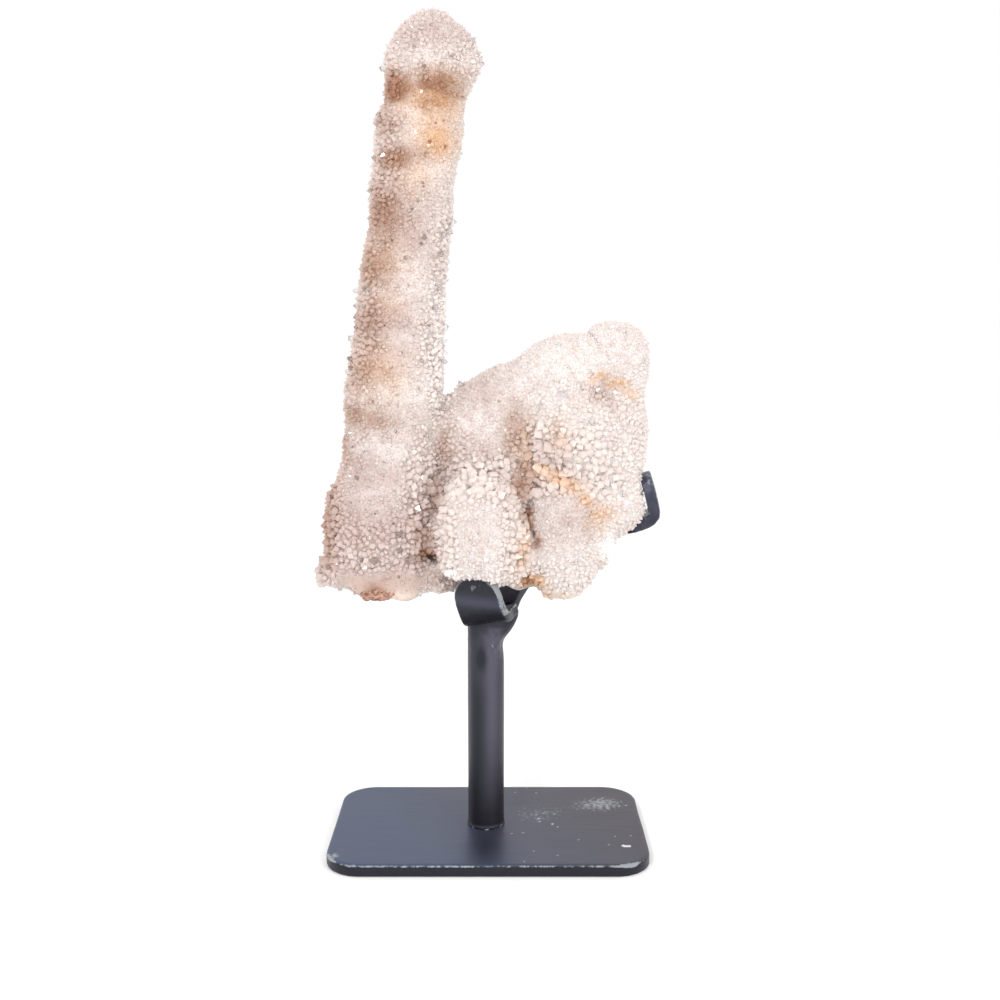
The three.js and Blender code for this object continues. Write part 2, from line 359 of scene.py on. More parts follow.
# Films on the quartz: middle, reach and strength of each patch of a colour.
RUST_AND_SHADE = [
    # ring under the cap
    ((-22, -7, 190.5), (7, 10, 5), 1.05),
    ((-14, -9, 191.4), (13, 10, 3.8), 0.78),
    ((-7, -8, 190.5), (4, 9, 4), 0.60),
    ((-14, 10, 191), (12, 8, 4), 0.6),
    ((-13, -9, 187.4), (9, 9, 3.6), 0.50),
    # left flank of the column
    ((-24, -7, 183), (6, 10, 6), 0.48),
    ((-22, -8, 174.5), (8, 10, 4.4), 0.78),
    ((-25, -7, 162), (10, 12, 12), 0.66),
    ((-28, -7, 149), (9, 12, 9), 0.58),
    ((-29, -7, 136), (9, 12, 10), 0.52),
    ((-31, -7, 123), (9, 12, 8), 0.46),
    ((-29, -6, 113), (12, 11, 5.5), 0.70),
    ((-37, -2, 105), (8, 10, 9), 0.5),
    ((-39, -2, 86), (8, 12, 17), 0.46),
    ((-28, -8, 80), (13, 10, 6), 0.20),
    ((-16, -8, 82), (5, 8, 10), 0.32),
    # clefts and cracks of the block: iron stain, and painted shade laid into them
    ((-10.9, -5, 104), (3.4, 9, 10), 0.50),
    ((-12.8, -6, 92), (3.4, 9, 9), 0.44),
    ((-3, -5, 104), (9, 9, 4), 0.30),
    ((6.5, -7, 109), (5, 9, 9), 0.46),
    ((8.8, -7, 97), (4.4, 9, 9), 0.62),
    ((9.6, -9, 88.5), (1.6, 7, 3), 1.0),
    ((10.6, -10, 85), (1.5, 7, 3), 1.0),
    ((11.9, -10.5, 81), (1.5, 7, 3), 0.9),
    ((-15.4, -8, 77.4), (3.6, 7, 3.4), 0.95),
    ((-13, -8, 71), (5, 8, 3), 0.45),
    ((-8, -7, 67.8), (7, 8, 2.4), 0.60),
    ((-28, -8, 70), (14, 9, 3.4), 0.42),
    ((-28, -6, 66.4), (8, 9, 1.6), 0.7),
    ((9.6, -8, 69.8), (2.6, 7, 2.2), 0.65),
    ((27, -6, 118), (7, 8, 4), 0.20),
    ((25, -8, 86), (2.2, 8, 6), 0.35),
    ((30, 12, 108), (14, 6, 10), 0.25),
    ((2, 12, 84), (12, 6, 10), 0.35),
]
OCHRE = [
    ((-12, -9, 179), (8, 10, 7.5), 0.46),
    ((-12, -9, 188.5), (11, 9, 6), 0.62),
    ((-12, -9, 184), (9, 9, 4), 0.36),
    ((-17, -10, 171), (7, 9, 6), 0.25),
    ((-25, -8, 150), (7, 10, 6), 0.22),
    ((-24, -10, 140), (6, 8, 5.0), 0.14),
    ((-26, -9, 124), (8, 10, 8), 0.26),
    ((27.5, -6, 122.4), (3.6, 7, 1.3), 0.60),
    ((32.5, -4, 120.4), (3.6, 7, 1.3), 0.65),
    ((36, -3, 118.0), (2.6, 7, 1.8), 0.45),
    ((15, -8, 98.4), (4, 7, 2.0), 0.50),
    ((18, -7, 96.4), (5, 7, 1.7), 0.50),
    ((21, -8, 94.4), (4, 7, 2.0), 0.45),
    ((28.5, -5, 87), (5, 8, 3.6), 0.38),
    ((24.5, -8, 91), (3, 7, 2.4), 0.42),
    ((9, -8, 104), (3, 8, 9), 0.25),
    ((11.0, -8, 70.3), (4.0, 8, 3.2), 0.62),
    ((17, -6, 67.0), (6, 8, 2.0), 0.45),
    ((8, -9, 79), (3, 6, 6), 0.35),
    ((18, -10, 108), (5, 6, 6), 0.14),
    ((24, 12, 96), (8, 6, 6), 0.3),
]
BLUSH = [
    ((-13.5, -4, 203), (14, 14, 9), 0.55),
    ((-14, -8, 164), (12, 10, 10), 0.30),
    ((-20, -8, 156), (12, 10, 8), 0.45),
    ((-13, -8, 150), (6, 10, 8), 0.35),
    ((-24, -8, 128), (10, 10, 10), 0.42),
    ((-29, -8, 87), (15, 12, 12), 0.82),
    ((-38, -4, 82), (8, 12, 16), 0.85),
    ((-28, -8, 74), (16, 12, 6), 0.72),
    ((-2, -20, 86), (10, 10, 12), 0.24),
    ((-12, -9, 179), (9, 9, 8), 0.46),
    ((-22, -9, 137), (10, 9, 8), 0.52),
    ((-22, -9, 108), (10, 10, 6), 0.36),
    ((-28, -8, 98), (12, 10, 8), 0.72),
    ((-1, -3, 117), (10, 10, 9), 0.50),
    ((34, 0, 130), (8, 10, 6), 0.10),
    ((-17, -8, 86), (5, 10, 12), 0.40),
    ((-3, -6, 106), (8, 9, 6), 0.35),
    ((19, -13, 87), (8, 9, 9), 0.45),
    ((15, -10, 102), (8, 9, 8), 0.30),
    ((28, -6, 119), (6, 8, 4), 0.40),
]
BRIGHT = [
    ((-10.2, -11, 73.7), (3.0, 8, 2.4), 1.0),
    ((31, -6, 79), (4, 8, 4), 0.7),
    ((-12, -4, 134), (5, 14, 36), 0.15),
]
# Holes and cracks, where no points stand: middle, reach and strength of their shadow.
PITS = [
    ((-14.8, -7.4, 76.4), (1.5, 5, 1.3), 1.5),
    ((-13.9, -7.4, 75.7), (1.1, 5, 0.9), 1.3),
    ((-14.7, -9, 175.4), (0.6, 4, 0.5), 1.2),
    ((9.9, -9, 87.2), (0.7, 5, 1.9), 1.1),
    ((11.2, -10.5, 83.0), (0.6, 5, 1.9), 1.0),
    ((10.5, -9, 68.6), (2.4, 6, 0.7), 0.9),
]
# Middle of the iron claw, behind which the stone lies bare.
CLAW = (-3.8, -12, 69.0)
# What colours the quartz, stains along with painted glints and painted shade, from the lowest layer to the
# topmost one.
FILMS = {"bright": BRIGHT, "blush": BLUSH, "ochre": OCHRE, "rust": RUST_AND_SHADE, "pit": PITS}
# Hollows pressed into the body: middle, radius and depth.
HOLLOWS = [
    ((8.4, -9, 98), 4.2, 1.9),
    ((7.6, -8, 106), 3.2, 1.4),
    ((7.2, -7, 113), 2.6, 1.2),
    ((9.6, -8, 89.5), 1.9, 2.4),
    ((10.6, -10, 85), 1.6, 2.4),
    ((11.8, -11, 80.8), 1.6, 1.8),
    ((-10.8, -9, 108), 2.4, 1.2),
    ((-10.9, -9, 102), 2.6, 2.0),
    ((-12.0, -10, 95), 2.4, 1.6),
    ((-13.2, -11, 88), 2.2, 1.4),
    ((-13.8, -11.5, 82), 2.2, 1.2),
    ((-14.8, -7.4, 76.4), 1.8, 3.6),
    ((31, -6.5, 121.4), 3.4, 1.3),
    ((16.5, -13, 98.4), 2.2, 1.4),
    ((22.5, -12, 94), 2.2, 1.6),
    ((27.5, -10, 89), 2.2, 1.4),
    ((10.2, -9, 71), 2.6, 1.8),
    ((-28, -9, 67.0), 5.6, 3.2),
    ((-37, -8, 66.5), 5.0, 3.2),
    (CLAW, 4.5, 1.2),
    # Swellings that fill the saddles between the knobs.
    ((28.0, 1, 131.5), 5.6, -2.8),
    ((9.5, 1, 127.0), 4.0, -1.5),
    ((38.0, 0, 119.5), 4.2, -2.0),
]
# Joined meshes of points, and the places whose points each one holds.
STONE_PIECES = [
    ("cap", lambda p: p[:, 2] > 184),
    ("upper_column", lambda p: (p[:, 2] > 146) & (p[:, 0] < -3)),
    ("lower_column", lambda p: (p[:, 2] > 108) & (p[:, 0] < -11)),
    ("foot", lambda p: p[:, 0] < -13),
    ("block_back", lambda p: p[:, 1] > 3),
    ("front_knobs", lambda p: p[:, 2] < 96),
    ("block", lambda p: p[:, 2] > 0),
]

# Radii that part the points in classes: the largest class takes its places first.
SIZE_CLASSES = (0.7, 1.05)
# Fillers: their size against their zone's points, and the zone radius from which there are any.
FILLER_SIZE, FILLER_ZONES = 0.45, 0.5
# Room that large points and fillers keep between each other, in their radii.
LARGE_ROOM, FILLER_ROOM = 0.85, 1.1
# How fast the share of clear points rises as a zone's frost number falls, its limits, the radius and
# the rust and painted shade above which none is clear, and how far the clear ones stand out, in their
# radii.
CLEAR_RISE, CLEAR_LIMITS = 0.12, (0.01, 0.06)
CLEAR_RADIUS, CLEAR_RUST, CLEAR_LIFT = 0.95, 0.35, 1.15
# Share, largest radius and whiteness of the small points painted white as glints, a painted highlight.
GLINT_SHARE, GLINT_RADIUS, GLINT_WHITE = 0.12, 0.42, 0.7
# Radius under which points have no shoulder.
PLAIN_RADIUS = 0.5
# The broken underside: how far its face turns down, the height it stays under, and its cover.
UNDERSIDE_DOWN, UNDERSIDE_TOP, UNDERSIDE_COVER = -0.6, 70, 0.06


def zone_values(points):
    """Each zone's numbers, blended at every point."""
    numbers = np.array([zone[2:] for zone in ZONES])
    weights = np.stack([nearness(points, *zone[:2]) for zone in ZONES], 1) ** 1.5 + 1e-6
    return (weights @ numbers / weights.sum(1)[:, None]).T


def films(points):
    """How strongly each film lies at each point, its rim frayed by noise."""
    wander = np.stack([waves(points, 4.0, 2.0 + k) for k in range(3)], 1)
    strengths = {}
    for name, patches in FILMS.items():
        frayed = points + wander * (0.5 if name == "pit" else 1.6)
        strengths[name] = np.zeros(len(points))
        for middle, reach, most in patches:
            strengths[name] = np.maximum(strengths[name], most * nearness(frayed, middle, reach))
    return strengths


# ---- materials -----------------------------------------------------------------------------------


def node(material, kind, values=(), links=(), **settings):
    """Adds a node to a material with its settings, constants and the sources linked to its inputs."""
    tree = material.node_tree
    made = tree.nodes.new(kind)
    for key, value in settings.items():
        setattr(made, key, value)
    for socket, value in dict(values).items():
        made.inputs[socket].default_value = value
    for socket, source in dict(links).items():
        tree.links.new(source, made.inputs[socket])
    return made


def new_material(name):
    """An empty material with an output, and the object coordinates its patterns read."""
    material = bpy.data.materials.new(name)
    material.use_nodes = True
    material.node_tree.nodes.clear()
    output = node(material, "ShaderNodeOutputMaterial")
    where = node(material, "ShaderNodeTexCoord").outputs["Object"]
    return material, output, where


def feed(material, target, sources):
    """Gives each of a node's inputs a constant or the output of another node."""
    for socket, value in sources.items():
        if isinstance(value, bpy.types.NodeSocket):
            material.node_tree.links.new(value, target.inputs[socket])
        else:
            target.inputs[socket].default_value = value


def blend(material, factor, first, second):
    """Mixes two colours, each a constant or the output of a node."""
    mix = node(material, "ShaderNodeMix", data_type="RGBA")
    feed(material, mix, {0: factor, 6: first, 7: second})
    return mix.outputs[2]


def stored(material, name):
    """The number stored under a name on a mesh's vertices."""
    return node(material, "ShaderNodeAttribute", attribute_name=name).outputs["Fac"]


def clouds(material, where, scale, detail, roughness=0.5):
    """Noise with a scale in bumps per metre."""
    values = {"Scale": scale, "Detail": detail, "Roughness": roughness}
    return node(material, "ShaderNodeTexNoise", values, {"Vector": where}).outputs["Fac"]


def calculated(material, operation, first, second, **settings):
    """The outcome of a calculation with two numbers, each a constant or the output of a node."""
    step = node(material, "ShaderNodeMath", operation=operation, **settings)
    feed(material, step, {0: first, 1: second})
    return step.outputs[0]


def mapped(material, source, low, high, to_low=0.0, to_high=1.0):
    """A source stretched from one range to another, and cut off at its ends."""
    values = {"From Min": low, "From Max": high, "To Min": to_low, "To Max": to_high}
    return node(material, "ShaderNodeMapRange", values, {"Value": source}).outputs["Result"]


def bumps(material, height, strength, millimetres):
    """The normals of a surface with small bumps on it."""
    values = {"Strength": strength, "Distance": millimetres * MM}
    return node(material, "ShaderNodeBump", values, {"Height": height}).outputs["Normal"]


def shaded(material, output, values, links):
    """Gives a material its one shader."""
    shader = node(material, "ShaderNodeBsdfPrincipled", values, links)
    material.node_tree.links.new(shader.outputs["BSDF"], output.inputs["Surface"])
    return material


def stained(material, where, base, settings):
    """A base colour under the stone's films, each a little patchy."""
    cloud = clouds(material, where, 420, 3, 0.6)
    patchy = calculated(material, "ADD", cloud, 0.75)
    for name in FILMS:
        amount = calculated(material, "MULTIPLY", stored(material, name), patchy, use_clamp=True)
        base = blend(material, amount, base, getattr(settings, name))
    return base


def milky_quartz(settings):
    """Milky quartz: light goes in and comes out again softly, pink and cream clouds show through."""
    material, output, where = new_material("milky_quartz")
    base = blend(material, stored(material, "bare"), settings.milky, settings.sugar)
    # Clouds about 13 mm across.
    cloudy = mapped(material, clouds(material, where, 75, 4, 0.6), 0.45, 0.75, to_high=0.35)
    base = blend(material, cloudy, base, settings.blush)
    # Sugary grain, one bump for each 0.4 mm of fused quartz.
    grain = node(material, "ShaderNodeTexVoronoi", {"Scale": 2400}, {"Vector": where})
    values = {
        "Roughness": 0.42,
        "IOR": QUARTZ_IOR,
        "Subsurface Weight": 0.6,
        "Subsurface Radius": (1.0, 0.75, 0.6),
        "Subsurface Scale": 1.5 * MM,
    }
    links = {
        "Base Color": stained(material, where, base, settings),
        "Normal": bumps(material, grain.outputs["Distance"], 0.5, 0.2),
    }
    return shaded(material, output, values, links)


def quartz_points(settings, name, clear):
    """Quartz points: the clear ones glassy and glinting, the frosted ones milky and softly glowing."""
    material, output, where = new_material(name)
    plain = settings.clear if clear else settings.frosted
    base = blend(material, stored(material, "tint"), plain, settings.blush)
    values = {
        # The clear ones bend light less than quartz does, or crowded small ones would look grey.
        "IOR": 1.2 if clear else QUARTZ_IOR,
        "Transmission Weight": 0.9 if clear else 0.0,
        "Roughness": 0.05 if clear else 0.13,
        "Coat Weight": 0.5 if clear else 0.0,
        "Coat Roughness": 0.05,
        "Subsurface Weight": 0.0 if clear else 0.3,
        "Subsurface Radius": (1.0, 1.0, 1.0),
        "Subsurface Scale": 0.3 * MM,
    }
    if clear:
        absorption = {"Color": linear("#F4E9E2"), "Density": 40.0}
        depth = node(material, "ShaderNodeVolumeAbsorption", absorption)
        material.node_tree.links.new(depth.outputs["Volume"], output.inputs["Volume"])
    return shaded(material, output, values, {"Base Color": stained(material, where, base, settings)})


def limonite(settings):
    """Limonite matrix: the dull, porous brown rock that the quartz first grew on."""
    material, output, where = new_material("limonite_matrix")
    pores = clouds(material, where, 900, 4, 0.7)
    amount = mapped(material, pores, 0.38, 0.62)
    links = {
        "Base Color": blend(material, amount, settings.limonite, settings.dusty),
        "Normal": bumps(material, pores, 0.8, 0.4),
    }
    return shaded(material, output, {"Roughness": 0.8}, links)


def painted_iron(settings):
    """Satin black paint on forged iron, brushed hazily, with rubs and chips, and painted sheen and
    highlights in its colour.
    """
    material, output, where = new_material("satin_painted_iron")
    # Painted reflection: the room's sheen mixed into the paint's colour, its tint set from cool to warm.
    sheen_colour = blend(material, stored(material, "warm"), settings.cool_sheen, settings.warm_sheen)
    tone = blend(material, stored(material, "hazed"), settings.paint, sheen_colour)
    # Flakes about 1 mm across, where the paint is scuffed and where rims carry a painted highlight.
    ragged = calculated(material, "MULTIPLY", clouds(material, where, 900, 5, 0.75), 0.9)
    worn = stored(material, "worn")
    rubbed = mapped(material, calculated(material, "SUBTRACT", worn, ragged), 0.0, 0.12)
    tone = blend(material, rubbed, tone, settings.bare)
    tone = blend(material, mapped(material, worn, 1.0, CHIP), tone, settings.chalk)
    # Brush drag along the plate, streaks about 0.6 mm wide and 12 mm long.
    stretched = node(material, "ShaderNodeMapping", {"Scale": (80, 1500, 1500)}, {"Vector": where})
    drag = clouds(material, stretched.outputs["Vector"], 1.0, 3, 0.6)
    rough = settings.paint_roughness
    values = {"IOR": 1.5, "Specular IOR Level": 0.42, "Specular Tint": linear("#E2E8FF")}
    links = {
        "Base Color": tone,
        "Roughness": mapped(material, drag, 0.0, 1.0, rough - 0.08, rough + 0.12),
        "Normal": bumps(material, clouds(material, where, 2600, 4), 0.25, 0.06),
    }
    return shaded(material, output, values, links)


def iron(settings):
    """The stand's one painted finish, made when it is first asked for."""
    return bpy.data.materials.get("satin_painted_iron") or painted_iron(settings)


def studio_paper(settings):
    """Matt white studio paper, so that the floor and backdrop run into one pale field."""
    material, output, where = new_material("studio_paper")
    values = {"Base Color": settings.paper, "Roughness": 0.9}
    fibre = clouds(material, where, 300, 2)
    return shaded(material, output, values, {"Normal": bumps(material, fibre, 0.05, 0.1)})


# ---- the stone -----------------------------------------------------------------------------------


class STALAGMITE_OT_body(bpy.types.Operator):
    """Make the stone's milky body, under its quartz points"""

    bl_idname = "stalagmite.body"
    bl_label = "Quartz body"

    def execute(self, context):
        settings = context.scene.stalagmite_stone
        piece = merged_copy("stalagmite", "quartz_body")
        even_skin(piece, settings.grain, 6)
        mesh = piece.data
        points, out = places(mesh), directions(mesh)
        # The body lies under the solid's face by the height of the points that will stand on it.
        radius, cover, tall, _ = zone_values(points)
        sink = radius * settings.crystal_scale * (tall + 1.0) * cover
        # Swellings about 4.5 mm across, with others about 2 mm across on them.
        sink -= settings.swelling / MM * (0.7 * waves(points, 4.5, 3.1) + 0.5 * waves(points, 1.9, 8.7))
        for middle, reach, depth in HOLLOWS:
            sink += depth * nearness(points, middle, (reach, 1.6 * reach, reach))
        points -= out * sink[:, None]
        put(mesh, points)
        write(mesh, bare=1 - cover, **films(points))
        finish_piece(piece, "quartz_body", milky_quartz(settings), "stalagmite", smooth=60)
        return {"FINISHED"}


def crystal_pattern(plain):
    """One six-sided quartz point as vertices and faces: root below, shoulder at one unit, tip at two.

    A plain one, for the smallest points, runs straight from its root to its tip."""
    start()
    bpy.ops.mesh.primitive_cylinder_add(vertices=6, radius=1, depth=2, end_fill_type="NGON")
    pattern = bpy.context.object
    edit(pattern)
    select(pattern, "polygons", lambda middle, out: out.z > 0.9)
    if not plain:
        bpy.ops.mesh.extrude_region_move(TRANSFORM_OT_translate={"value": (0, 0, 1)})
    bpy.ops.mesh.merge(type="CENTER")
    start()
    vertices = places(pattern.data) * MM
    faces = sorted(list(face.vertices) for face in pattern.data.polygons)
    bpy.data.meshes.remove(pattern.data)
    vertices[vertices[:, 2].argmax(), 2] = 2.0
    return vertices, faces


def seeds(mesh, count, rng):
    """Chance places on a mesh, spread evenly over its area, with the direction out of it."""
    mesh.calc_loop_triangles()
    flat = np.empty(len(mesh.loop_triangles) * 3, np.int32)
    mesh.loop_triangles.foreach_get("vertices", flat)
    triangles = flat.reshape(-1, 3)
    points, out = places(mesh), directions(mesh)
    a, b, c = (points[triangles[:, k]] for k in range(3))
    area = np.linalg.norm(np.cross(b - a, c - a), axis=1)
    chosen = rng.choice(len(triangles), count, p=area / area.sum())
    u, v = rng.random(count), rng.random(count)
    folded = u + v > 1
    u[folded], v[folded] = 1 - u[folded], 1 - v[folded]
    shares = np.stack([1 - u - v, u, v], 1)[:, :, None]
    where = (points[triangles[chosen]] * shares).sum(1)
    way = (out[triangles[chosen]] * shares).sum(1)
    return where, way / np.linalg.norm(way, axis=1)[:, None]


def spread(points, clearances, cell=0.12):
    """Takes places in turn, and skips each that lies within the clearance of one already taken.

    Space is cut in small cells, and each cell's three numbers are packed into one whole number."""
    wide = 4096
    grid = np.floor(points / cell).astype(int) + wide // 2
    keys = (grid[:, 0] * wide + grid[:, 1]) * wide + grid[:, 2]
    steps = np.ceil(clearances / cell).astype(int)
    balls = {}
    for size in np.unique(steps):
        around = np.arange(-size, size + 1)
        x, y, z = (axis.ravel() for axis in np.meshgrid(around, around, around, indexing="ij"))
        inside = x**2 + y**2 + z**2 <= size**2
        balls[size] = ((x[inside] * wide + y[inside]) * wide + z[inside]).tolist()
    taken, kept = set(), []
    for i, key in enumerate(keys.tolist()):
        if key not in taken:
            kept.append(i)
            taken.update(key + offset for offset in balls[steps[i]])
    return np.array(kept)


def across(way):
    """Two directions at right angles to each given one."""
    helper = np.where(np.abs(way[:, 2:3]) < 0.9, [[0.0, 0.0, 1.0]], [[1.0, 0.0, 0.0]])
    first = np.cross(way, helper)
    first /= np.linalg.norm(first, axis=1)[:, None]
    return first, np.cross(way, first)


def grown(pattern, roots, way, radius, tall, rng):
    """Vertex places of many quartz points, each turned, leaned and shaped by chance."""
    count = len(roots)
    tip = pattern[:, 2] > 1.5
    shoulder = (pattern[:, 2] > 0.5) & ~tip
    local = np.repeat(pattern[None], count, 0)
    local[:, :, :2] *= 1 + 0.12 * rng.standard_normal((count, 1, 2))
    # Three faces of a quartz tip are larger than the other three, so the shoulder steps up and down.
    steps = np.where(np.arange(shoulder.sum()) % 2, 1.0, -1.0)[None] * rng.uniform(0, 0.3, (count, 1))
    local[:, shoulder, 2] = tall[:, None] + steps
    local[:, tip, 2] = (tall + rng.uniform(0.75, 1.3, count))[:, None]
    local[:, tip, :2] += rng.normal(0, 0.2, (count, 1, 2))
    local *= radius[:, None, None]
    turn = rng.uniform(0, math.tau, count)
    first, second = across(way)
    side = first * np.cos(turn)[:, None] + second * np.sin(turn)[:, None]
    other = np.cross(way, side)
    axes = np.stack([side, other, way], 1)
    return roots[:, None] + np.einsum("nvk,nkd->nvd", local, axes)


class STALAGMITE_OT_points(bpy.types.Operator):
    """Grow the quartz points all over the body, as a few joined meshes"""

    bl_idname = "stalagmite.points"
    bl_label = "Quartz points"

    def execute(self, context):
        settings = context.scene.stalagmite_stone
        body = bpy.data.objects.get("quartz_body")
        if body is None:
            raise RuntimeError("make the quartz body first")
        rng = np.random.default_rng(settings.seed)
        large = self.tried(body, settings, rng, settings.candidates, 1.0, 0.0)
        order = np.argsort(-np.digitize(large[2], SIZE_CLASSES), kind="stable")
        large = [values[order] for values in large]
        kept = spread(large[0], large[2] * settings.spacing)
        large = [values[kept] for values in large]
        # Small points fill the gaps between the large ones.
        small = self.tried(body, settings, rng, settings.candidates // 2, FILLER_SIZE, FILLER_ZONES)
        # They have longer shafts against their width, to reach up between the large ones.
        small[3] = 2 * small[3] + 0.5
        both = [np.concatenate(pair) for pair in zip(large, small)]
        kept = spread(both[0], np.concatenate([LARGE_ROOM * large[2], FILLER_ROOM * small[2]]))
        where, way, radius, tall, frost = (values[kept] for values in both)
        first, second = across(way)
        lean = rng.normal(0, settings.lean, (len(where), 2))
        way = way + first * lean[:, :1] + second * lean[:, 1:]
        way /= np.linalg.norm(way, axis=1)[:, None]
        tall = tall * rng.uniform(0.5, 1.5, len(where)) + 0.02
        values = films(where)
        frosted = rng.random(len(where)) > ((0.7 - frost) * CLEAR_RISE).clip(*CLEAR_LIMITS)
        frosted |= (values["rust"] > CLEAR_RUST) | (radius > CLEAR_RADIUS)
        # Clear points stand on the frosted ones, so that light gets in all around them.
        where = where + way * (radius * np.where(frosted, 0.0, CLEAR_LIFT))[:, None]
        values["tint"] = rng.random(len(where)) ** 2 * 0.12
        # Painted glints: a share of the small points painted white, as if they caught the light.
        glint = (rng.random(len(where)) < GLINT_SHARE) & (radius < GLINT_RADIUS)
        values["bright"] = np.maximum(values["bright"], GLINT_WHITE * glint)
        plain = radius < PLAIN_RADIUS
        regions = np.full(len(where), len(STONE_PIECES))
        for index, (_, inside) in enumerate(STONE_PIECES):
            regions[inside(where)] = np.minimum(regions[inside(where)], index)
        made = [crystal_pattern(False), crystal_pattern(True)]
        for clear, kind in ((True, "glassy"), (False, "frosted")):
            material = quartz_points(settings, kind + "_quartz_points", clear)
            for index, (region, _) in enumerate(STONE_PIECES):
                parts = []
                for is_plain, (pattern, faces) in enumerate(made):
                    mine = (regions == index) & (frosted != clear) & (plain == bool(is_plain))
                    points = grown(pattern, where[mine], way[mine], radius[mine], tall[mine], rng)
                    parts.append((points, faces, {k: v[mine] for k, v in values.items()}))
                self.join(f"{region}_{kind}_points", parts, material)
        return {"FINISHED"}

    def tried(self, body, settings, rng, count, scale, least):
        """Chance places for points, with the way, radius, shaft and frost that each would have."""
        where, way = seeds(body.data, count, rng)
        radius, cover, tall, frost = zone_values(where)
        underside = (way[:, 2] < UNDERSIDE_DOWN) & (where[:, 2] < UNDERSIDE_TOP)
        cover = np.where(underside, UNDERSIDE_COVER, cover)
        cover = np.where(films(where)["pit"] > 0.35, 0.0, cover)
        cover = np.where(nearness(where, CLAW, (6.5, 7, 4.6)) > 0.4, 0.0, cover)
        keep = (rng.random(len(where)) < cover**2) & (radius > least)
        chance = np.exp(rng.normal(0, 0.27, len(where))).clip(0.6, 1.7)
        radius = radius * scale * settings.crystal_scale * chance
        return [values[keep] for values in (where, way, radius, tall, frost)]

    def join(self, name, parts, material):
        """Makes one joined mesh of many points, with its numbers stored on its vertices."""
        vertices, polygons, numbers = [], [], {}
        for points, faces, values in parts:
            count, each = points.shape[:2]
            base = len(vertices)
            vertices += (points.reshape(-1, 3) * MM).tolist()
            starts = range(base, base + count * each, each)
            polygons += [[i + s for i in face] for s in starts for face in faces]
            for key, value in values.items():
                numbers.setdefault(key, []).append(np.repeat(value, each))
        mesh = bpy.data.meshes.new(name)
        mesh.from_pydata(vertices, [], polygons)
        write(mesh, **{key: np.concatenate(value) for key, value in numbers.items()})
        piece = bpy.data.objects.new(name, mesh)
        bpy.context.scene.collection.objects.link(piece)
        finish_piece(piece, name, material)


class STALAGMITE_OT_matrix(bpy.types.Operator):
    """Make the lump of brown matrix left under the stone's foot"""

    bl_idname = "stalagmite.matrix"
    bl_label = "Matrix lump"

    def execute(self, context):
        settings = context.scene.stalagmite_stone
        start()
        place, half = Vector((-28.0, -9.0, 68.2)) * MM, Vector((5.0, 5.0, 1.9)) * MM
        bpy.ops.mesh.primitive_ico_sphere_add(subdivisions=5, radius=1, location=place, scale=half)
        piece = added()
        points, out = places(piece.data), directions(piece.data)
        rough = 0.9 * waves(points, 2.6, 1.3) + 0.55 * waves(points, 1.1, 4.9) - 0.3
        put(piece.data, points + out * rough[:, None])
        finish_piece(piece, "matrix_lump", limonite(settings), smooth=50)
        return {"FINISHED"}


# ---- the stand -----------------------------------------------------------------------------------


# Rubs in the plate's paint: middle, measured from its top face, reach, strength and how sharply each
# rub fades. The first is the large scuff at the back right.
RUBS = [
    ((32.2, 12.8, 0), (9.0, 7.6, 2), 0.50, 0.5),
    ((35.2, -24.4, -0.5), (4.2, 1.5, 0.9), 0.80, 1.0),
    ((13, 5, 0), (12, 12, 2), 0.44, 0.5),
    ((-38.5, -20, -0.3), (2.4, 3, 0.8), 0.80, 1.0),
]


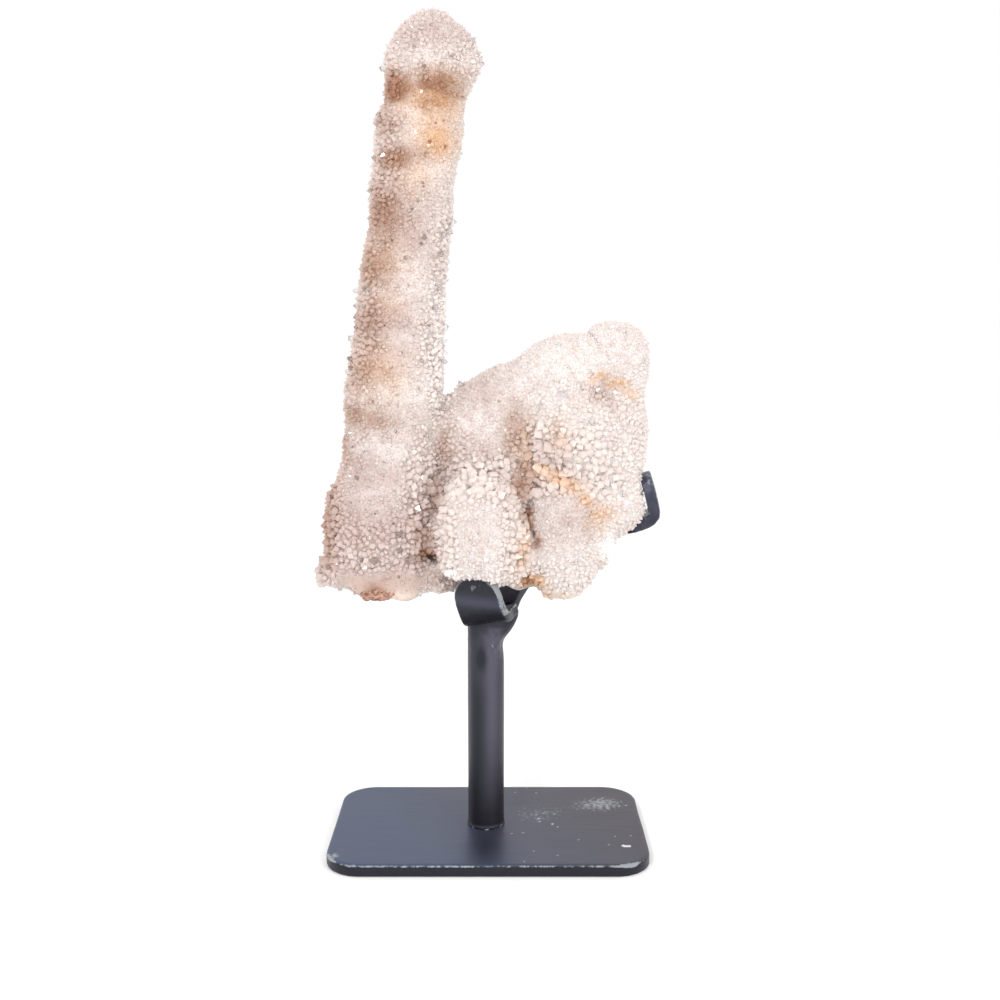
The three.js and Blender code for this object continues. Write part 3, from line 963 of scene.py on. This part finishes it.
class STALAGMITE_OT_plate(bpy.types.Operator):
    """Make the stand's plate, sheared from sheet with filed edges"""

    bl_idname = "stalagmite.plate"
    bl_label = "Base plate"

    def execute(self, context):
        settings = context.scene.stalagmite_stand
        piece = self.outline(settings)
        mesh = piece.data
        points = places(mesh)
        x, y, z = points.T
        top = settings.plate_thickness / MM
        # Shears and file leave the outline a little uneven.
        x += np.sign(x) * 0.12 * waves(points, 9.0, 2.2) * (np.abs(x) > 36)
        rim = (z > top - 0.75) & (z < top - 0.08)
        z += 0.05 * waves(points, 14.0, 6.1) * (z > 1)
        put(mesh, points)
        # Painted reflection: a sheen of the pale room on the plate's top, cool at the left front, warmer
        # and weaker to the right and back, and dimmer in front of the dark post.
        reflection = 0.7 * nearness(points, (-0.7, -14, top), (6, 15, 2))
        warm = (0.4 + x / 60 + y / 120).clip(0, 1)
        hazed = (z > top - 0.3) * (1 - reflection) * (1 - 0.36 * warm)
        write(mesh, worn=self.wear(points, rim, top, settings.specks), hazed=hazed, warm=warm)
        finish_piece(piece, "iron_plate", iron(settings), "base_plate", smooth=32)
        return {"FINISHED"}

    def outline(self, settings):
        """The plain plate with its round corners and broken edges, in small squares."""
        start()
        wide, deep, thick = settings.plate_width, settings.plate_depth, settings.plate_thickness
        bpy.ops.mesh.primitive_cube_add(size=1, location=(0, 0, thick / 2), scale=(wide, deep, thick))
        piece = added()
        edit(piece, "EDGE")
        select(piece, "edges", lambda middle, way: abs(way.z) > 0.9)
        bpy.ops.mesh.bevel(offset=settings.corner_radius, segments=12)
        top = thick / MM
        select(piece, "edges", lambda middle, way: middle.z > top - 0.01 and abs(way.z) < 0.1)
        bpy.ops.mesh.bevel(offset=settings.edge_break, segments=2)
        select(piece, "edges", lambda middle, way: middle.z < 0.01 and abs(way.z) < 0.1)
        bpy.ops.mesh.bevel(offset=0.6 * settings.edge_break, segments=2)
        bpy.ops.mesh.select_all(action="SELECT")
        bpy.ops.mesh.quads_convert_to_tris()
        even_skin(piece, 0.42 * MM, 2)
        return piece

    def wear(self, points, rim, top, seed):
        """How worn the paint is at each point, 1 rubbed to the iron, with a painted highlight on the top
        edge.
        """
        raised = points - (0, 0, top)
        # Lighter filed rim round the top edge: bare iron, and a painted highlight that is stronger along
        # the front edge.
        worn = np.where(points[:, 1] < -24, 0.50, 0.40) * rim
        for middle, reach, most, sharpness in RUBS:
            worn += most * nearness(raised, middle, reach) ** sharpness
        worn = np.minimum(worn, 0.95)
        # A chip near the right front corner.
        wander = 0.4 * waves(points, 0.9, 3.7)[:, None]
        worn = np.where(nearness(raised + wander, (35.4, -14.4, 0), (1.5, 1.1, 2)) > 0.3, CHIP, worn)
        # White specks on the right half, and a small crowd of them.
        likely = 0.0016 * (points[:, 0] > 3) + 0.03 * nearness(raised, (14.5, 1.5, 0), (3.4, 2.4, 1))
        specks = np.random.default_rng(seed).random(len(points)) < likely
        return np.where(specks & (raised[:, 2] > -0.2), CHIP, worn)


# The post: where its head begins and how long it is, how much it is drawn out to the right and
# flattened from front to back.
HEAD_START, HEAD_LENGTH = 51.5, 9.5
HEAD_DRAWN, HEAD_FLATTENED = 0.8, 0.18
# Hammer marks on the post: middle, reach and depth. The first is the long flat at the front left.
MARKS = [
    ((-1.9, -5, 49.8), (2.0, 3, 5.0), 0.9),
    ((4.4, -1.5, 53.0), (2.2, 3, 3.2), 0.8),
    ((1.2, -5, 58.5), (2.0, 3, 2.0), 0.35),
    ((0.8, -5, 50.6), (1.3, 2, 1.6), 0.28),
]


def ridge(values, middle, reach):
    """1 in the middle of a soft band, falling off to 0 outside its reach."""
    return np.exp(-(((values - middle) / reach) ** 2))


class STALAGMITE_OT_post(bpy.types.Operator):
    """Make the stand's post, its upper end hammered flatter and drawn out to the right"""

    bl_idname = "stalagmite.post"
    bl_label = "Post"

    def execute(self, context):
        settings = context.scene.stalagmite_stand
        piece = self.bar(settings)
        mesh = piece.data
        points = places(mesh)
        x, y, up = points.T
        head = ((up - HEAD_START) / HEAD_LENGTH).clip(0, 1)
        head = head * head * (3 - 2 * head)
        x *= np.where(x > 0, 1 + HEAD_DRAWN * head, 1.0)
        y *= 1 - HEAD_FLATTENED * head
        # The bead where the post is let into the plate.
        points[:, :2] *= 1 + 0.05 * ridge(up, 3.7, 0.35)[:, None]
        x -= settings.post_left / MM
        # The hammer marks, and small planished facets about 2 mm across.
        out = directions(mesh)
        side = np.abs(out[:, 2]) < 0.7
        pressed = sum(depth * nearness(points, middle, reach) for middle, reach, depth in MARKS)
        facets = 0.14 * np.abs(waves(points, 2.3, 7.0)) * ((up - 46) / 6).clip(0, 1)
        points -= out * ((pressed + facets) * side)[:, None]
        put(mesh, points)
        # Painted shade in the long hammered hollow, and a painted highlight round its rim as lighter
        # flecks and sheen.
        hollow = nearness(points, (-1.9, -5, 49.6), (2.3, 6, 5.4))
        rim = nearness(points, (-1.9, -5, 49.8), (3.4, 6, 7.2)) * (1 - 1.4 * hollow)
        worn = 0.55 * nearness(points, (1.9, -5, 53), (2.2, 3, 4.0)) + 0.30 * rim
        foot = ridge(up, 3.3, 0.3) * (y < 0)
        specks = np.random.default_rng(settings.specks).random(len(up)) < 0.1 * foot
        worn += 0.5 * foot + CHIP * specks
        # Painted highlight: a soft gleam down the post right of its middle, mottled on the hammered head,
        # none in its hollow, a brighter ring round it, and a thin line down the left edge.
        gleam = ridge(x, 1.0, 2.1) * (y < 0) * ((up - 4) / 26).clip(0.15, 1) * (1 - head)
        gleam += 0.9 * nearness(points, (2.0, -5, 54), (3.2, 6, 5)) * (0.7 + 1.8 * waves(points, 1.4, 5.5))
        gleam = (gleam * (1 - hollow) + 0.8 * rim).clip(0, 1)
        gleam += 0.35 * ridge(x, -4.9, 0.6) * (1 - head)
        write(mesh, worn=worn, hazed=gleam.clip(0, 1), warm=np.full(len(up), 0.8))
        finish_piece(piece, "iron_post", iron(settings), "post", smooth=38)
        return {"FINISHED"}

    def bar(self, settings):
        """The plain round bar, in rings that lie closer together at its foot and its head."""
        start()
        low, high = settings.plate_thickness, settings.post_top
        radius = settings.post_diameter / 2
        bpy.ops.mesh.primitive_circle_add(
            vertices=72, radius=radius, location=(0, 0, low), fill_type="NGON"
        )
        piece = added()
        edit(piece)
        bpy.ops.mesh.select_all(action="SELECT")
        steps = [0.25] * 8 + [2.0] * 19 + [0.45] * 39
        steps += [(high - low) / MM - sum(steps)]
        for step in steps:
            bpy.ops.mesh.extrude_region_move(TRANSFORM_OT_translate={"value": (0, 0, step * MM)})
        bpy.ops.mesh.select_all(action="SELECT")
        bpy.ops.mesh.normals_make_consistent(inside=False)
        start()
        in_order(piece.data)
        return piece


# The arm's hook lies to the right of this.
HOOK_LEFT = 38


def claw_edges(points, out):
    """How worn the claw is: the ground edge of its tip, and scratches under it."""
    facing = -out[:, 1]
    edge = ((facing < 0.75) & (points[:, 2] > 65)) | ((out[:, 0] > 0.4) & (points[:, 2] > 63))
    return 0.56 * edge + 0.45 * nearness(points, (-3.5, -11.5, 70), (5, 3, 2.2)) ** 0.5


def hook_edges(points, out):
    """How worn the arm is: the ground edges of its hook."""
    turned = np.abs(out[:, 1])
    return 0.46 * ((points[:, 0] > HOOK_LEFT) & (turned > 0.25) & (turned < 0.85))


class STALAGMITE_OT_strips(bpy.types.Operator):
    """Make the short claw and the long side arm, bent from flat strip"""

    bl_idname = "stalagmite.strips"
    bl_label = "Claw and arm"

    def execute(self, context):
        settings = context.scene.stalagmite_stand
        for node_name, name, rounds, edges in (
            ("front_claw", "iron_claw", 3, claw_edges),
            ("side_arm", "iron_arm", 9, hook_edges),
        ):
            piece = merged_copy(node_name, name)
            even_skin(piece, 0.28 * MM, rounds)
            mesh = piece.data
            points, out = places(mesh), directions(mesh)
            dents = 0.06 * waves(points, 3.2, 1.9) + 0.04 * waves(points, 1.2, 3.3)
            put(mesh, points - out * dents[:, None])
            # Painted highlight: a satin band across the claw's front, and a painted sheen down the hook.
            gleam = 0.55 * ridge(points[:, 2], 66.2, 1.7) * (out[:, 1] < -0.5)
            shine = 0.6 * nearness(points, (40.5, 17, 93), (2.4, 30, 7)) + 0.25 * waves(points, 1.6, 2.7)
            gleam = np.where(points[:, 0] > HOOK_LEFT, 0.4 + shine, gleam)
            warm = np.full(len(points), 0.5)
            write(mesh, worn=edges(points, out), hazed=gleam.clip(0, 1), warm=warm)
            finish_piece(piece, name, iron(settings), node_name, smooth=40)
        return {"FINISHED"}


# ---- the stage -----------------------------------------------------------------------------------


def area_light(name, place, target, size, power):
    """A square soft light that faces a target. Places are in millimetres."""
    start()
    place, target = Vector(place) * MM, Vector(target) * MM
    turn = (target - place).to_track_quat("-Z", "Y").to_euler()
    bpy.ops.object.light_add(type="AREA", location=place, rotation=turn)
    light = bpy.context.object
    light.name = name
    light.data.shape = "SQUARE"
    light.data.size = size * MM
    light.data.energy = power
    return light


class STALAGMITE_OT_stage(bpy.types.Operator):
    """Set the pale floor, the soft lights and the camera"""

    bl_idname = "stalagmite.stage"
    bl_label = "Floor, light and camera"

    def execute(self, context):
        scene = context.scene
        settings = scene.stalagmite_stage
        start()
        bpy.ops.mesh.primitive_plane_add(size=settings.floor, location=(0, 0, 0))
        paper = bpy.context.object
        edit(paper, "EDGE")
        back = settings.floor / 2 / MM
        select(paper, "edges", lambda middle, way: middle.y > back - 1)
        bpy.ops.mesh.extrude_region_move(TRANSFORM_OT_translate={"value": (0, 0, settings.floor / 2)})
        select(paper, "edges", lambda middle, way: middle.y > back - 1 and middle.z < 1)
        bpy.ops.mesh.bevel(offset=settings.floor / 5, segments=16)
        bpy.ops.object.mode_set(mode="OBJECT")
        bpy.ops.object.shade_smooth()
        paper.name = "paper_floor"
        paper.data.materials.append(studio_paper(settings))

        world = bpy.data.worlds.new("white_room")
        world.use_nodes = True
        light = world.node_tree.nodes["Background"]
        light.inputs["Color"].default_value = (1, 1, 1, 1)
        light.inputs["Strength"].default_value = settings.room_light
        scene.world = world
        middle = (0, 0, 105)
        area_light("key", (380, -420, 330), middle, 260, settings.key_power)
        area_light("front", (-160, -420, 330), middle, 32, settings.fill_power)

        start()
        tilt = math.radians(90 - settings.camera_dip)
        place = (settings.camera_right, -settings.camera_distance, settings.camera_height)
        bpy.ops.object.camera_add(location=place, rotation=(tilt, 0, 0))
        camera = bpy.context.object
        camera.name = "camera"
        camera.data.lens = settings.camera_lens
        camera.data.sensor_width = 36
        camera.data.clip_start = 10 * MM
        scene.camera = camera
        scene.view_settings.view_transform = "Standard"
        return {"FINISHED"}


# ---- panel and registration ----------------------------------------------------------------------

OPERATORS = [
    STALAGMITE_OT_body,
    STALAGMITE_OT_points,
    STALAGMITE_OT_matrix,
    STALAGMITE_OT_plate,
    STALAGMITE_OT_post,
    STALAGMITE_OT_strips,
    STALAGMITE_OT_stage,
]


class STALAGMITE_PT_panel(bpy.types.Panel):
    """The stalagmite's pieces and their settings"""

    bl_idname = "STALAGMITE_PT_panel"
    bl_label = "Stalagmite"
    bl_space_type = "VIEW_3D"
    bl_region_type = "UI"
    bl_category = "Stalagmite"

    def draw(self, context):
        for operator in OPERATORS:
            self.layout.operator(operator.bl_idname)
        for name in SETTINGS:
            group = getattr(context.scene, name)
            box = self.layout.box()
            for key in group.__annotations__:
                box.prop(group, key)


SETTINGS = {
    "stalagmite_stone": StoneSettings,
    "stalagmite_stand": StandSettings,
    "stalagmite_stage": StageSettings,
}
CLASSES = [*SETTINGS.values(), *OPERATORS, STALAGMITE_PT_panel]


def register():
    for cls in CLASSES:
        bpy.utils.register_class(cls)
    for name, group in SETTINGS.items():
        setattr(bpy.types.Scene, name, bpy.props.PointerProperty(type=group))


def unregister():
    for name in SETTINGS:
        delattr(bpy.types.Scene, name)
    for cls in reversed(CLASSES):
        bpy.utils.unregister_class(cls)


def main():
    register()
    bpy.ops.stalagmite.stage()
    bpy.ops.stalagmite.body()
    bpy.ops.stalagmite.points()
    bpy.ops.stalagmite.matrix()
    bpy.ops.stalagmite.plate()
    bpy.ops.stalagmite.post()
    bpy.ops.stalagmite.strips()


if __name__ == "__main__":
    main()
